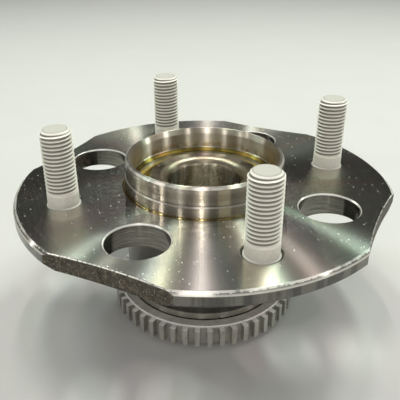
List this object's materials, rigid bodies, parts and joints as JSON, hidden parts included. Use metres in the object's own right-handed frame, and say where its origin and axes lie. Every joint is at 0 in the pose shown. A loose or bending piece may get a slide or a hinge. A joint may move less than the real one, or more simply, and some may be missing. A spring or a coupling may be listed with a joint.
{
  "type": "wheel hub bearing",
  "caption": "Flanged wheel hub with wheel studs and speed sensor ring, turning on a sealed double-row angular-contact ball bearing.",
  "frame": {"origin": "on the spin axis, in the wheel face of the flange, which is the plane of the stud pattern", "axes": "+Z along the spin axis, outboard towards the wheel; the studs lie on +X, +Y, -X and -Y and the access holes between them"},
  "size_m": [0.1522, 0.1522, 0.0851],
  "materials": {
    "machined_forging": "turned and ground faces, raw forged scallop walls",
    "stud_zinc_flake": "matte zinc-flake coating",
    "sintered_steel": "matte sintered grey",
    "ground_race_steel": "ground bearing steel",
    "ball_steel": "polished",
    "pressed_steel": "bright pressed sheet",
    "spring_steel": "dark spring steel",
    "cage_polyamide": "glass-filled moulding",
    "seal_rubber": "greased nitrile rubber"
  },
  "bodies": {
    "inner_rings": {"inner_ring_outboard": "ground_race_steel", "inner_ring_inboard": "ground_race_steel", "inner_ring_clip": "spring_steel", "inboard_slinger": "pressed_steel"},
    "hub": {"hub_flange": "machined_forging", "tone_ring": "sintered_steel", "wheel_stud_1": "stud_zinc_flake", "wheel_stud_2": "stud_zinc_flake", "wheel_stud_3": "stud_zinc_flake", "wheel_stud_4": "stud_zinc_flake", "outboard_seal_case": "pressed_steel", "outboard_seal_lip": "seal_rubber", "inboard_seal_case": "pressed_steel", "inboard_seal_lip": "seal_rubber"},
    "ball_row_outboard": {"cage_outboard": "cage_polyamide", "ball_outboard_01": "ball_steel", "ball_outboard_02": "ball_steel", "ball_outboard_03": "ball_steel", "ball_outboard_04": "ball_steel", "ball_outboard_05": "ball_steel", "ball_outboard_06": "ball_steel", "ball_outboard_07": "ball_steel", "ball_outboard_08": "ball_steel", "ball_outboard_09": "ball_steel", "ball_outboard_10": "ball_steel", "ball_outboard_11": "ball_steel", "ball_outboard_12": "ball_steel"},
    "ball_row_inboard": {"cage_inboard": "cage_polyamide", "ball_inboard_01": "ball_steel", "ball_inboard_02": "ball_steel", "ball_inboard_03": "ball_steel", "ball_inboard_04": "ball_steel", "ball_inboard_05": "ball_steel", "ball_inboard_06": "ball_steel", "ball_inboard_07": "ball_steel", "ball_inboard_08": "ball_steel", "ball_inboard_09": "ball_steel", "ball_inboard_10": "ball_steel", "ball_inboard_11": "ball_steel", "ball_inboard_12": "ball_steel"}
  },
  "joints": [
    {"name": "hub_spin", "type": "hinge", "parent": "inner_rings", "child": "hub", "pos_m": [0, 0, 0], "axis": [0, 0, 1], "continuous": true},
    {"name": "outboard_row_spin", "type": "hinge", "parent": "inner_rings", "child": "ball_row_outboard", "pos_m": [0, 0, -0.012], "axis": [0, 0, 1], "continuous": true},
    {"name": "inboard_row_spin", "type": "hinge", "parent": "inner_rings", "child": "ball_row_inboard", "pos_m": [0, 0, -0.04], "axis": [0, 0, 1], "continuous": true}
  ],
  "couplings": [
    {"joint": "outboard_row_spin", "follows": "hub_spin", "ratio": 0.5827},
    {"joint": "inboard_row_spin", "follows": "hub_spin", "ratio": 0.5827}
  ]
}
